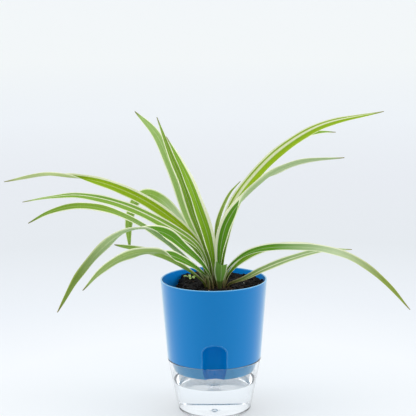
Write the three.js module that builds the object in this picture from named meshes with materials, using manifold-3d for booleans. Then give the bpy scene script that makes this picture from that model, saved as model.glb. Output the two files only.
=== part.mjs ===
// A spider plant in a self-watering pot set.
//
// A tapered blue pot stands by its shoulder on the rim of a clear reservoir cup. Its lower skirt hangs inside the
// cup, above the water. An arched channel down the front of the pot leads from outside into the cup, so water can
// be poured in. The pot holds soil, and the plant's crown stands in a plain hole in it with every leaf seated on top.
//
// Units are millimetres. +Z is up, +X is to the right of the filling channel as it is looked at, and the origin is
// the centre of the cup's flat underside.

import * as THREE from 'three';
import { mergeVertices } from 'three/addons/utils/BufferGeometryUtils.js';
import Module from 'manifold-3d';

const wasm = await Module();
wasm.setup();

// ---------------------------------------------------------------------------------------------------------------
// Driving dimensions
// ---------------------------------------------------------------------------------------------------------------

const GAP = 0.3; // clearance left between pieces that touch
const ROUND_SEGMENTS = 48; // facets round the pot, cup, water and soil

const CUP_FOOT_RADIUS = 37.6;
const CUP_RIM_RADIUS = 48.6;
const CUP_WALL = 1.2;
const CUP_FLOOR = 2.2;
const CUP_CORNER = 3.2; // radius of the rounded edge round the foot
const GATE_RADIUS = 3.4; // small round boss in the middle of the cup's floor
const GATE_HEIGHT = 2.4;
const WATER_LEVEL = 31.8;

const POT_RIM_RADIUS = 55;
const POT_HEIGHT = 139.5;
const POT_WALL = 1.7;
const SHOULDER_HEIGHT = 56.5; // underside of the step that rests on the cup's rim
const SHOULDER_INSIDE_RISE = 3.5; // the inside of the step lies this much higher
const SKIRT_TOP_RADIUS = 46.6;
const SKIRT_FOOT_RADIUS = 42;
const SKIRT_FOOT_HEIGHT = 43.2;
const SKIRT_EDGE = 1.2; // small bevel round the skirt's foot
const LIP_ROUND = 0.8;
const BOSS_RADIUS = 7; // collar under the pot's floor, round the drain hole
const BOSS_DEPTH = 3;
const DRAIN_RADIUS = 3.6;

const CHANNEL_RADIUS = 12.8; // the half-round filling channel
const CHANNEL_AXIS_Y = -48.9;
const CHANNEL_SPRING_HEIGHT = 72.8; // where the arch's dome begins
const CHANNEL_DOME_RISE = 9.5;
const CHANNEL_SEGMENTS = 36;

const SOIL_LEVEL = 134;
const SOIL_HOLLOW_DEPTH = 14; // the soil sinks towards the wall on the left, between these distances from the middle
const SOIL_HOLLOW_START = 29;
const SOIL_HOLLOW_END = 44;
const SOIL_RINGS = 7;

const CROWN_X = 3;
const CROWN_Y = -12;
const CROWN_TOP = 131.7;
const CROWN_RADIUS = 14.9;
const ROOTSTOCK_DEPTH = 20;

const LEAF_SEAT_HEIGHT = CROWN_TOP + GAP;
const LEAF_STEPS = 18; // cross-sections from seat to tip
const LEAF_SEAT_WIDTH = 5;
const LEAF_TIP_WIDTH = 1.2;
const LEAF_TAPER = 3.6; // power of the blade's narrowing; the higher, the later it narrows
const LEAF_FLARE = 0.4; // share of the blade over which it grows to its full width
const LEAF_RIB_THICKNESS = 1;
const LEAF_EDGE_THICKNESS = 0.8;
const LEAF_STATIONS = [-1, -0.5, 0, 0.5, 1]; // places across a blade, from its right edge to its left edge

const SEEDLING_X = -24;
const SEEDLING_Y = 20;
const SEEDLING_STEM = 0.9; // radius
const SEEDLING_FOOT = 126;
const SEEDLING_TOP = 136;
// [bearing, length, rise of the tip] of each of the seedling's round-ended leaflets
const SEEDLING_LEAFLETS = [[20, 7, 1.5], [110, 6, 2.5], [195, 7.5, 3], [265, 6, 0.8], [325, 6, 0.4]];

const COLOURS = {
  pot: { color: 0x0f7ec4, roughness: 0.25, metalness: 0 },
  cup: { color: 0xe4eef2, roughness: 0.05, metalness: 0 },
  water: { color: 0xc9dde6, roughness: 0.02, metalness: 0 },
  soil: { color: 0x1b1512, roughness: 0.95, metalness: 0 },
  crown: { color: 0x5a4a38, roughness: 0.8, metalness: 0 },
  leaf: { color: 0x6f9c2e, roughness: 0.5, metalness: 0 },
  seedling: { color: 0x9dbb62, roughness: 0.55, metalness: 0 },
};

// Each leaf grows from a seat on the crown, given by its distance from the crown's middle and its bearing, and
// heads out along one upright plane. Bearings and headings are in degrees, anticlockwise from +X seen from above.
// route: [reach, height] of points that the middle of the blade's depth passes, in that plane.
// width: the blade's greatest width. fold: how far each half is folded up from flat at the middle of the blade.
// roll: how far the blade's left edge is lifted, at evenly spaced places from its seat to its tip.
// crease: the place of a twist, and how much further the halves fold up there.
const LEAVES = {
  leaf_left_long: {
    seat: [9.1, 167], heading: 172, width: 12.5, fold: 20, roll: [-30, -50, -65, -65, -50, 60, 90],
    crease: [0.755, 48],
    route: [[1, 154], [11, 179], [50, 213], [91, 234], [132, 245], [170, 247], [212, 239]],
  },
  leaf_left_upper: {
    seat: [8.9, 205], heading: 181, width: 12.5, fold: 16, roll: [-20, -45, -45, -25], taper: 3.2,
    route: [[2, 157], [12, 177], [50, 203], [90, 221.5], [130, 230.5], [159, 229], [187, 224.5]],
  },
  leaf_left_inner: {
    seat: [11.8, 153], heading: 172, width: 7, fold: 34, roll: [-20, -40, -45, -40],
    route: [[2, 152], [9, 169], [27, 186], [47, 200]],
  },
  leaf_left_middle: {
    seat: [12.1, 178], heading: 193, width: 10.5, fold: 16, roll: [-10, -30, -32, -26, -45, -62, -60], taper: 4.5,
    route: [[3, 145], [20, 164], [57, 196], [97, 218], [130, 224], [157, 219], [178, 209]],
  },
  leaf_left_drooping: {
    seat: [8.9, 242], heading: 212, width: 14, fold: 20, roll: [-30, -60, -70, 15, 75, 80, 80], taper: 5,
    route: [[2, 144], [12, 160], [34, 181], [52, 196], [76, 205], [96, 205], [118, 196], [150, 168.5], [174.5, 134.5]],
  },
  leaf_left_low: {
    seat: [11.8, 226], heading: 224, width: 12, fold: 20, roll: [-25, -50, -60, 40, 75, 80, 80], taper: 6,
    route: [[1, 143], [12, 154], [39, 171], [66, 182], [92, 186], [117, 184], [142, 175], [163, 161]],
  },
  leaf_left_short: {
    seat: [11.8, 200], heading: 202, width: 7, fold: 16, roll: [-10, 40, 65, 65], taper: 9,
    route: [[2, 139], [13, 149], [34, 164], [61, 177], [97, 187]],
  },
  leaf_left_folded: {
    seat: [8.9, 118], heading: 145, width: 12, fold: 20, roll: [-20, 60, 100, 100, 80, 60, 60], taper: 8,
    route: [[3, 149], [16, 167], [40, 196], [63, 216], [82, 221], [96, 215], [105, 201], [109, 183], [108, 158]],
  },
  leaf_top_outer: {
    seat: [2.9, 132], heading: 135, width: 13, fold: 18, roll: [-10, -40, -55, -50], taper: 6,
    route: [[2, 150], [17, 175], [39, 206], [53, 234], [68, 260], [86, 284], [118, 305]],
  },
  leaf_top_narrow: {
    seat: [5.9, 178], heading: 158, width: 11.5, fold: 28, roll: [-40, -60, -45, -30], flare: 0.5,
    route: [[1, 150], [5, 173], [20, 210], [31, 241], [43, 267], [58, 306]],
  },
  leaf_top_broad: {
    seat: [2.9, 240], heading: 198, width: 16, fold: 18, roll: [-60, -70, -60, -40], taper: 5,
    route: [[1, 152], [6, 183], [16, 215], [27, 245], [39, 270], [50, 291]],
  },
  leaf_centre_young: {
    seat: [5.9, 80], heading: 50, width: 6, fold: 40, roll: [0, 10, 20, 20],
    route: [[0, 160], [-1, 186], [1, 199], [10, 215], [21, 227], [38, 237]],
  },
  leaf_right_long: {
    seat: [2.9, 0], heading: 10, width: 13.5, fold: 26, roll: [20, 50, 60, 45],
    route: [[0, 158], [3, 187], [15, 218], [36, 246], [65, 273], [106, 296], [172, 309]],
  },
  leaf_right_behind: {
    seat: [5.9, 42], heading: 32, width: 8, fold: 26, roll: [20, 40, 40, 35], taper: 7,
    route: [[1, 145], [3, 165], [15, 206], [36, 241], [68, 267], [97, 278.5], [124, 283], [146, 281.5]],
  },
  leaf_right_upper: {
    seat: [5.9, 295], heading: -10, width: 15, fold: 20, roll: [40, 62, 70, 5, -55, -60, -60],
    taper: 2.4, flare: 0.28, crease: [0.55, 52],
    route: [[0, 157], [2, 180], [9, 203], [28, 232], [53, 252], [83, 265], [126, 270]],
  },
  leaf_right_inner: {
    seat: [8.9, 12], heading: 4, width: 8.5, fold: 24, roll: [20, 40, 40, 20],
    route: [[3, 144], [14, 157], [32, 168], [57, 174.5], [88, 174.5], [119, 166]],
  },
  leaf_right_drooping: {
    seat: [8.9, 328], heading: -22, width: 9.5, fold: 22, roll: [30, 45, 38, 35], taper: 5, flare: 0.3,
    route: [[2, 149], [18, 167], [39, 177], [71, 181.5], [107, 181.5], [138, 173.5], [168, 153.5], [193, 128]],
  },
  leaf_right_low: {
    seat: [12.2, 340], heading: -12, width: 8.5, fold: 18, roll: [30, 48, 45, 30], taper: 4,
    route: [[2, 137], [16, 143], [36, 154], [66, 167], [96, 176], [126, 178]],
  },
  leaf_front_trimmed: {
    seat: [11.4, 287], heading: -74, width: 14, fold: 34, roll: [0, 0, 0, 0], flare: 0.8,
    route: [[0, 140], [2, 150], [5, 160]], cut: 5,
  },
};

// ---------------------------------------------------------------------------------------------------------------
// Solids
// ---------------------------------------------------------------------------------------------------------------

/** A manifold solid from a closed geometry. */
function solidOf(geometry) {
  const bare = geometry.clone();
  bare.deleteAttribute('normal');
  bare.deleteAttribute('uv');
  const merged = mergeVertices(bare, 1e-4);
  return new wasm.Manifold(
    new wasm.Mesh({
      numProp: 3,
      vertProperties: new Float32Array(merged.attributes.position.array),
      triVerts: new Uint32Array(merged.index.array),
    }),
  );
}

/** A geometry from a manifold solid. */
function geometryOf(solid) {
  const mesh = solid.getMesh();
  const geometry = new THREE.BufferGeometry();
  geometry.setAttribute('position', new THREE.BufferAttribute(new Float32Array(mesh.vertProperties), 3));
  geometry.setIndex(new THREE.BufferAttribute(new Uint32Array(mesh.triVerts), 1));
  geometry.computeVertexNormals();
  return geometry;
}

/** A turned solid about +Z from [radius, height] points that start and end on the axis or close on themselves. */
function turned(profile, segments = ROUND_SEGMENTS) {
  const points = profile.map(([radius, height]) => new THREE.Vector2(radius, height));
  return new THREE.LatheGeometry(points, segments).rotateX(Math.PI / 2);
}

/** The value at x on the broken line through [x, value] points, whose x rises. */
function along(points, x) {
  const next = Math.min(Math.max(points.findIndex(([at]) => at >= x), 1), points.length - 1);
  const [[x0, v0], [x1, v1]] = [points[next - 1], points[next]];
  return THREE.MathUtils.mapLinear(THREE.MathUtils.clamp(x, x0, x1), x0, x1, v0, v1);
}

function addMesh(parent, name, geometry, look) {
  const mesh = new THREE.Mesh(geometry, new THREE.MeshStandardMaterial(look));
  mesh.name = name;
  parent.add(mesh);
}

// ---------------------------------------------------------------------------------------------------------------
// Reservoir cup and water
// ---------------------------------------------------------------------------------------------------------------

const cupHeight = SHOULDER_HEIGHT - GAP;
const cupOuter = [[0, CUP_FOOT_RADIUS], [cupHeight, CUP_RIM_RADIUS]];
const cupInnerRadius = (height) => along(cupOuter, height) - CUP_WALL;

function cupGeometry() {
  const corner = [];
  for (let step = 0; step <= 4; step += 1) {
    const angle = (step / 4) * (Math.PI / 2);
    const inset = CUP_CORNER * (1 - Math.sin(angle));
    const height = CUP_CORNER * (1 - Math.cos(angle));
    corner.push([along(cupOuter, height) - inset, height]);
  }
  return turned([
    [0, 0],
    ...corner,
    [CUP_RIM_RADIUS, cupHeight - 0.5],
    [CUP_RIM_RADIUS - 0.5, cupHeight],
    [cupInnerRadius(cupHeight), cupHeight],
    [cupInnerRadius(CUP_CORNER + 1), CUP_CORNER + 1],
    [cupInnerRadius(CUP_FLOOR) - CUP_CORNER / 2, CUP_FLOOR],
    [GATE_RADIUS, CUP_FLOOR],
    [GATE_RADIUS - 0.4, CUP_FLOOR + GATE_HEIGHT],
    [0, CUP_FLOOR + GATE_HEIGHT],
  ]);
}

function waterGeometry() {
  return turned([
    [0, CUP_FLOOR + GATE_HEIGHT + GAP],
    [GATE_RADIUS + GAP, CUP_FLOOR + GATE_HEIGHT + GAP],
    [GATE_RADIUS + GAP, CUP_FLOOR + GAP],
    [cupInnerRadius(CUP_FLOOR) - CUP_CORNER / 2 - GAP, CUP_FLOOR + GAP],
    [cupInnerRadius(CUP_CORNER + 1) - GAP, CUP_CORNER + 1 + GAP],
    [cupInnerRadius(WATER_LEVEL) - GAP, WATER_LEVEL],
    [0, WATER_LEVEL],
  ]);
}

// ---------------------------------------------------------------------------------------------------------------
// Pot
// ---------------------------------------------------------------------------------------------------------------

const skirtFloor = SKIRT_FOOT_HEIGHT + POT_WALL;
const potInner = [
  [skirtFloor, SKIRT_FOOT_RADIUS - POT_WALL],
  [SHOULDER_HEIGHT, SKIRT_TOP_RADIUS - POT_WALL],
  [SHOULDER_HEIGHT + SHOULDER_INSIDE_RISE, CUP_RIM_RADIUS - POT_WALL + 0.3],
  [POT_HEIGHT - LIP_ROUND, POT_RIM_RADIUS - POT_WALL],
];
const potOutline = [
  [SKIRT_FOOT_RADIUS - SKIRT_EDGE, SKIRT_FOOT_HEIGHT],
  [SKIRT_FOOT_RADIUS, SKIRT_FOOT_HEIGHT + SKIRT_EDGE],
  [SKIRT_TOP_RADIUS, SHOULDER_HEIGHT],
  [CUP_RIM_RADIUS, SHOULDER_HEIGHT],
  [POT_RIM_RADIUS, POT_HEIGHT - LIP_ROUND],
  [POT_RIM_RADIUS - LIP_ROUND / 2, POT_HEIGHT],
];

/** The filling channel's shape, a half-round shaft under a flattened dome, grown outwards by some thickness. */
function channelSolid(foot, grown) {
  const radius = CHANNEL_RADIUS + grown;
  const rise = CHANNEL_DOME_RISE + grown;
  const dome = [];
  for (let step = 0; step <= 6; step += 1) {
    const angle = (step / 6) * (Math.PI / 2);
    dome.push([radius * Math.cos(angle), CHANNEL_SPRING_HEIGHT + rise * Math.sin(angle)]);
  }
  dome[6][0] = 0;
  return solidOf(turned([[0, foot], [radius, foot], ...dome], CHANNEL_SEGMENTS).translate(0, CHANNEL_AXIS_Y, 0));
}

function potGeometry() {
  const shell = solidOf(turned([
    [DRAIN_RADIUS, SKIRT_FOOT_HEIGHT - BOSS_DEPTH],
    [BOSS_RADIUS, SKIRT_FOOT_HEIGHT - BOSS_DEPTH],
    [BOSS_RADIUS, SKIRT_FOOT_HEIGHT],
    ...potOutline,
    [POT_RIM_RADIUS - POT_WALL + LIP_ROUND / 2, POT_HEIGHT],
    ...potInner.map(([height, radius]) => [radius, height]).reverse(),
    [DRAIN_RADIUS, skirtFloor],
    [DRAIN_RADIUS, SKIRT_FOOT_HEIGHT - BOSS_DEPTH],
  ]));
  const body = solidOf(turned([[0, SKIRT_FOOT_HEIGHT], ...potOutline, [0, POT_HEIGHT]]));
  const backing = channelSolid(SKIRT_FOOT_HEIGHT - 1, POT_WALL).intersect(body);
  return geometryOf(shell.add(backing).subtract(channelSolid(SKIRT_FOOT_HEIGHT - 5, 0)));
}

// ---------------------------------------------------------------------------------------------------------------
// Soil, with plain holes for the crown and the seedling
// ---------------------------------------------------------------------------------------------------------------

/** Height of the soil's surface: nearly level, with soft lumps, and a hollow against the wall on the left. */
function soilHeight(x, y) {
  const lumps = 0.7 * Math.sin(x / 7.3 + 1.1) * Math.cos(y / 6.1) + 0.4 * Math.sin((x + y) / 3.9);
  const hollow = SOIL_HOLLOW_DEPTH * THREE.MathUtils.smoothstep(-x, SOIL_HOLLOW_START, SOIL_HOLLOW_END);
  return SOIL_LEVEL + lumps - hollow;
}

function crownProfile(grown) {
  return [
    [0, CROWN_TOP - ROOTSTOCK_DEPTH - grown],
    [CROWN_RADIUS * 0.4 + grown, CROWN_TOP - ROOTSTOCK_DEPTH - grown],
    [CROWN_RADIUS * 0.85 + grown, CROWN_TOP - ROOTSTOCK_DEPTH * 0.5],
    [CROWN_RADIUS + grown, CROWN_TOP - 3],
  ];
}

function soilGeometry() {
  const inner = (height) => along(potInner, height) - GAP;
  const positions = [];
  const index = [];
  const ring = (place) => {
    for (let sector = 0; sector < ROUND_SEGMENTS; sector += 1) {
      positions.push(...place((sector / ROUND_SEGMENTS) * Math.PI * 2));
    }
  };
  const side = [skirtFloor + GAP, SHOULDER_HEIGHT, SHOULDER_HEIGHT + SHOULDER_INSIDE_RISE];
  side.forEach((height) => ring((turn) => [inner(height) * Math.cos(turn), inner(height) * Math.sin(turn), height]));
  for (let step = SOIL_RINGS; step > 0; step -= 1) {
    ring((turn) => {
      const wall = inner(SOIL_LEVEL);
      const edge = inner(soilHeight(wall * Math.cos(turn), wall * Math.sin(turn)));
      const [x, y] = [Math.cos(turn), Math.sin(turn)].map((part) => part * edge * (step / SOIL_RINGS));
      return [x, y, soilHeight(x, y)];
    });
  }
  const rings = side.length + SOIL_RINGS;
  const [top, bottom] = [rings * ROUND_SEGMENTS, rings * ROUND_SEGMENTS + 1];
  positions.push(0, 0, soilHeight(0, 0), 0, 0, side[0]);
  for (let sector = 0; sector < ROUND_SEGMENTS; sector += 1) {
    const next = (sector + 1) % ROUND_SEGMENTS;
    for (let row = 0; row < rings - 1; row += 1) {
      const [a, b] = [row * ROUND_SEGMENTS + sector, row * ROUND_SEGMENTS + next];
      const [c, d] = [a + ROUND_SEGMENTS, b + ROUND_SEGMENTS];
      index.push(a, b, d, a, d, c);
    }
    const last = (rings - 1) * ROUND_SEGMENTS;
    index.push(last + sector, last + next, top, next, sector, bottom);
  }
  const body = new THREE.BufferGeometry();
  body.setAttribute('position', new THREE.Float32BufferAttribute(positions, 3));
  body.setIndex(index);
  const shaft = [[CROWN_RADIUS + GAP, SOIL_LEVEL + 10], [0, SOIL_LEVEL + 10]];
  const crownHole = turned([...crownProfile(GAP), ...shaft], CHANNEL_SEGMENTS).translate(CROWN_X, CROWN_Y, 0);
  const seedlingHole = new THREE.CylinderGeometry(SEEDLING_STEM + GAP, SEEDLING_STEM + GAP, 20, 12)
    .rotateX(Math.PI / 2)
    .translate(SEEDLING_X, SEEDLING_Y, SOIL_LEVEL);
  return geometryOf(
    solidOf(body)
      .subtract(channelSolid(SKIRT_FOOT_HEIGHT - 5, POT_WALL + GAP))
      .subtract(solidOf(crownHole))
      .subtract(solidOf(seedlingHole)),
  );
}

// ---------------------------------------------------------------------------------------------------------------
// Plant
// ---------------------------------------------------------------------------------------------------------------

function crownGeometry() {
  return turned([...crownProfile(0), [CROWN_RADIUS, CROWN_TOP], [0, CROWN_TOP]], CHANNEL_SEGMENTS)
    .translate(CROWN_X, CROWN_Y, 0);
}

/** Value part way along some evenly spaced ones, eased so that it holds near each. */
function eased(values, t) {
  const place = Math.min(t * (values.length - 1), values.length - 1 - 1e-9);
  const step = Math.floor(place);
  return THREE.MathUtils.lerp(values[step], values[step + 1], THREE.MathUtils.smoothstep(place - step, 0, 1));
}

/** Blade width at t from seat (0) to tip (1). A cut leaf keeps its width to the end. */
function bladeWidth(leaf, t) {
  const { width, cut, taper = LEAF_TAPER, flare = LEAF_FLARE } = leaf;
  const grown = THREE.MathUtils.lerp(LEAF_SEAT_WIDTH, width, THREE.MathUtils.smoothstep(t, 0.02, flare));
  return cut ? grown : LEAF_TIP_WIDTH + (grown - LEAF_TIP_WIDTH) * (1 - t ** taper);
}

/** How far each half of the blade is folded up: most in the crown, least at the tip. */
function bladeFold(leaf, t) {
  const degrees = THREE.MathUtils.lerp(48, leaf.fold, THREE.MathUtils.smoothstep(t, 0, 0.3)) * (1 - 0.5 * t);
  const [place, extra] = leaf.crease ?? [0.5, 0];
  const creased = extra * (1 - THREE.MathUtils.smoothstep(Math.abs(t - place), 0.02, 0.16));
  return THREE.MathUtils.degToRad(degrees + creased);
}

/** A channelled strap blade swept along its midrib. Both faces are split into triangles alike. */
function leafGeometry(leaf) {
  const [seatReach, bearing] = leaf.seat;
  const spoke = THREE.MathUtils.degToRad(bearing);
  const heading = THREE.MathUtils.degToRad(leaf.heading);
  const seat = new THREE.Vector3(
    CROWN_X + seatReach * Math.cos(spoke),
    CROWN_Y + seatReach * Math.sin(spoke),
    0,
  );
  const outward = new THREE.Vector3(Math.cos(heading), Math.sin(heading), 0);
  const leftward = new THREE.Vector3(-Math.sin(heading), Math.cos(heading), 0);
  const place = ([reach, height]) => seat.clone().addScaledVector(outward, reach).setZ(height);
  const midrib = new THREE.CatmullRomCurve3(
    [[0, LEAF_SEAT_HEIGHT], [0, LEAF_SEAT_HEIGHT + 2.5], ...leaf.route].map(place),
    false,
    'centripetal',
  );
  const positions = [];
  for (let step = 0; step <= LEAF_STEPS; step += 1) {
    const t = step / LEAF_STEPS;
    const point = midrib.getPointAt(t);
    const tangent = step === 0 ? new THREE.Vector3(0, 0, 1) : midrib.getTangentAt(t);
    const level = tangent.clone().cross(leftward).normalize();
    const roll = THREE.MathUtils.degToRad(eased(leaf.roll, t));
    const across = leftward.clone().multiplyScalar(Math.cos(roll)).addScaledVector(level, Math.sin(roll));
    const facing = level.clone().multiplyScalar(Math.cos(roll)).addScaledVector(leftward, -Math.sin(roll));
    const half = bladeWidth(leaf, t) / 2;
    const fold = bladeFold(leaf, t);
    for (const face of [1, -1]) {
      for (const station of LEAF_STATIONS) {
        const thickness = THREE.MathUtils.lerp(LEAF_RIB_THICKNESS, LEAF_EDGE_THICKNESS, Math.abs(station));
        const lift = (Math.abs(station) ** 1.2 - 0.5) * half * Math.sin(fold) + (face * thickness) / 2;
        const slant = leaf.cut && step === LEAF_STEPS ? leaf.cut * Math.max(0, -station) : 0;
        positions.push(
          ...point
            .clone()
            .addScaledVector(across, station * half * Math.cos(fold))
            .addScaledVector(facing, lift)
            .addScaledVector(tangent, slant)
            .toArray(),
        );
      }
    }
  }
  const wide = LEAF_STATIONS.length;
  const ring = wide * 2;
  const index = [];
  for (let step = 0; step < LEAF_STEPS; step += 1) {
    const [near, far] = [step * ring, (step + 1) * ring];
    for (let cell = 0; cell < wide - 1; cell += 1) {
      index.push(near + cell, far + cell, far + cell + 1, near + cell, far + cell + 1, near + cell + 1);
      const [low, lowFar] = [near + wide + cell, far + wide + cell];
      index.push(low, lowFar + 1, lowFar, low, low + 1, lowFar + 1);
    }
    index.push(near, near + wide, far + wide, near, far + wide, far);
    const [edge, edgeFar] = [near + wide - 1, far + wide - 1];
    index.push(edge, edgeFar + wide, edge + wide, edge, edgeFar, edgeFar + wide);
  }
  const end = LEAF_STEPS * ring;
  for (let cell = 0; cell < wide - 1; cell += 1) {
    index.push(cell, cell + 1, cell + 1 + wide, cell, cell + 1 + wide, cell + wide);
    const [a, b] = [end + cell, end + cell + 1];
    index.push(a, b + wide, b, a, a + wide, b + wide);
  }
  const geometry = new THREE.BufferGeometry();
  geometry.setAttribute('position', new THREE.Float32BufferAttribute(positions, 3));
  geometry.setIndex(index);
  geometry.computeVertexNormals();
  return geometry;
}

/** A sprout of a few round-ended leaflets on one short stem. */
function seedlingGeometry() {
  const stem = new THREE.CylinderGeometry(SEEDLING_STEM * 0.8, SEEDLING_STEM, SEEDLING_TOP - SEEDLING_FOOT, 8)
    .rotateX(Math.PI / 2)
    .translate(0, 0, (SEEDLING_TOP + SEEDLING_FOOT) / 2);
  const leaflets = SEEDLING_LEAFLETS.map(([bearing, length, rise]) =>
    new THREE.SphereGeometry(1, 10, 6)
      .scale(length / 2, length / 4, 0.5)
      .translate(length / 2, 0, 0)
      .rotateY(-Math.atan2(rise, length))
      .rotateZ(THREE.MathUtils.degToRad(bearing))
      .translate(0, 0, SEEDLING_TOP - 0.6),
  );
  const sprout = leaflets.map(solidOf).reduce((whole, leaflet) => whole.add(leaflet), solidOf(stem));
  return geometryOf(sprout.translate([SEEDLING_X, SEEDLING_Y, 0]));
}

// ---------------------------------------------------------------------------------------------------------------
// The whole set
// ---------------------------------------------------------------------------------------------------------------

const plantPot = new THREE.Group();
addMesh(plantPot, 'reservoir_cup', cupGeometry(), COLOURS.cup);
addMesh(plantPot, 'water', waterGeometry(), COLOURS.water);
addMesh(plantPot, 'pot', potGeometry(), COLOURS.pot);
addMesh(plantPot, 'soil', soilGeometry(), COLOURS.soil);
addMesh(plantPot, 'crown', crownGeometry(), COLOURS.crown);
addMesh(plantPot, 'seedling', seedlingGeometry(), COLOURS.seedling);
for (const [name, leaf] of Object.entries(LEAVES)) {
  addMesh(plantPot, name, leafGeometry(leaf), COLOURS.leaf);
}

export default plantPot;
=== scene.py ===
"""Looks for a potted spider plant: arching cream-edged leaves in a glossy blue pot over a clear water cup.

Lengths are millimetres in the CAD frame where nothing else is said: +Z up from the cup's underside, -Y out
of the pot's front, +X to the right. Meshes are made in metres.
"""

from __future__ import annotations

import logging
import math
import random
from collections.abc import Callable, Sequence
from dataclasses import dataclass, field
from enum import Enum
from functools import partial
from typing import Any

import bmesh
import bpy
from mathutils import Matrix, Vector, noise


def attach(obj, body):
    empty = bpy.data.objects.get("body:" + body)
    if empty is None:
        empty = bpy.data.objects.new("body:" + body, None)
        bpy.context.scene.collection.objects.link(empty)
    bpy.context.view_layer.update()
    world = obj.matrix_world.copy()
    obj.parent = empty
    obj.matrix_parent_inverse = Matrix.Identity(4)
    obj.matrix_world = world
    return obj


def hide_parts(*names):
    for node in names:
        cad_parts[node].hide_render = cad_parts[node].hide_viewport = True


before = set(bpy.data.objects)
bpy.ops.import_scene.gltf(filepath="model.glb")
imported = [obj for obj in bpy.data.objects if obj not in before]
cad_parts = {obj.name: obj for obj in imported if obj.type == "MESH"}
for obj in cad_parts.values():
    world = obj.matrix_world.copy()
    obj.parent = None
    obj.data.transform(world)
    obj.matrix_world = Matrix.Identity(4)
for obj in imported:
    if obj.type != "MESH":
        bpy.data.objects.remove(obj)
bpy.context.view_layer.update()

LOG = logging.getLogger("spider_plant")
ROOT_BODY = "root"
MM = 0.001
AXIS_Z = (0.0, 0.0, 1.0)
FULL_TURN = math.tau
SEED = 7
CROWN_CENTRE = (3.0, -12.0)
BLEND = {"data_type": "RGBA"}
TINT = {"data_type": "RGBA", "blend_type": "MULTIPLY"}

Pair = tuple[float, float]
Profile = Sequence[Pair]
Stops = Sequence[tuple[float, str]]
Source = bpy.types.Node | bpy.types.NodeSocket
Adder = Callable[..., bpy.types.Node]


# ------------------------------ Small tools ------------------------------


def linear(code: str) -> tuple[float, float, float, float]:
    """Turns an sRGB hex colour to linear light.

    Args:
        code: six hex digits.

    Returns:
        Red, green, blue and an alpha of 1.
    """
    shares = [int(code[place : place + 2], 16) / 255 for place in (0, 2, 4)]
    red, green, blue = (s / 12.92 if s <= 0.04045 else ((s + 0.055) / 1.055) ** 2.4 for s in shares)
    return red, green, blue, 1.0


def smoothstep(value: float, low: float, high: float) -> float:
    """Eased share of the way from low to high."""
    share = min(max((value - low) / (high - low), 0.0), 1.0)
    return share * share * (3 - 2 * share)


def lerp(start: float, end: float, share: float) -> float:
    """Straight mix of two numbers."""
    return start + (end - start) * share


def along(points: Profile, place: float) -> float:
    """Reads a broken line.

    Args:
        points: (place, value) pairs with rising places.
        place: where to read, held inside the line's ends.

    Returns:
        The value there.
    """
    for (before, low), (after, high) in zip(points, points[1:]):
        if place <= after:
            return lerp(low, high, min(max((place - before) / (after - before), 0.0), 1.0))
    return points[-1][1]


def connect(node: bpy.types.Node, links: dict[Any, Source]) -> None:
    """Feeds a node's inputs.

    Args:
        node: the node that is fed.
        links: for each input, the output that feeds it, or a node whose first output in use feeds it.
    """
    for name, source in links.items():
        if isinstance(source, bpy.types.Node):
            source = next(output for output in source.outputs if output.enabled)
        node.id_data.links.new(source, node.inputs[name])


def add_node(
    tree: bpy.types.NodeTree,
    kind: str,
    settings: dict[Any, Any] | None = None,
    links: dict[Any, Source] | None = None,
) -> bpy.types.Node:
    """Adds a shader node with its settings and links.

    Args:
        tree: the node tree that gets the node.
        kind: the node's class without its first words, such as Math for ShaderNodeMath.
        settings: property or input values; "stops" holds a colour ramp's (place, hex colour) pairs.
        links: what feeds each input, as for connect.

    Returns:
        The new node.
    """
    node = tree.nodes.new(f"ShaderNode{kind}")
    for name, value in (settings or {}).items():
        if name == "stops":
            elements = node.color_ramp.elements
            while len(elements) < len(value):
                elements.new(0.5)
            for element, (place, code) in zip(elements, value):
                element.position = place
                element.color = linear(code)
        elif isinstance(name, str) and hasattr(node, name):
            setattr(node, name, value)
        else:
            node.inputs[name].default_value = value
    connect(node, links or {})
    return node


def new_material(name: str, settings: dict[str, Any]) -> tuple[bpy.types.Material, bpy.types.Node]:
    """Starts a material with one Principled shader.

    Args:
        name: the material's name.
        settings: the shader's input values.

    Returns:
        The material and its shader node.
    """
    material = bpy.data.materials.new(name)
    material.use_nodes = True
    shader = material.node_tree.nodes["Principled BSDF"]
    for socket, value in settings.items():
        shader.inputs[socket].default_value = value
    return material, shader


def placed(name: str, data: bpy.types.ID) -> bpy.types.Object:
    """Links a new object at the origin.

    Args:
        name: the object's name.
        data: the mesh, curve, lamp or camera that it holds.

    Returns:
        The object.
    """
    made = bpy.data.objects.new(name, data)
    bpy.context.scene.collection.objects.link(made)
    return made


def new_object(
    name: str, shape: bmesh.types.BMesh, materials: Sequence[bpy.types.Material] = ()
) -> bpy.types.Object:
    """Makes an object at the origin from a bmesh, which is freed.

    Args:
        name: the object's name.
        shape: the finished bmesh, in metres.
        materials: its materials in slot order; a shape that only cuts or fills another has none.

    Returns:
        The linked object.
    """
    mesh = bpy.data.meshes.new(name)
    shape.to_mesh(mesh)
    shape.free()
    for material in materials:
        mesh.materials.append(material)
    return placed(name, mesh)


def smooth(piece: bpy.types.Object, angle: float) -> None:
    """Shades a piece smooth, with edges above an angle in degrees kept sharp."""
    piece.data.shade_smooth()
    piece.data.set_sharp_from_angle(angle=math.radians(angle))


def install(piece: bpy.types.Object, slot: str, *nodes: str) -> None:
    """Seats a finished piece in the frame and reports it.

    Args:
        piece: the finished piece, in place.
        slot: the record's material slot; not used.
        nodes: the CAD nodes that it stands for.
    """
    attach(piece, ROOT_BODY)
    if nodes:
        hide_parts(*nodes)
    LOG.info("%s: %d faces", piece.name, len(piece.data.polygons))


def finished_mesh(piece: bpy.types.Object) -> bpy.types.Mesh:
    """New mesh of a piece, with its modifiers or its bevel applied."""
    graph = bpy.context.evaluated_depsgraph_get()
    return bpy.data.meshes.new_from_object(piece.evaluated_get(graph))


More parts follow.
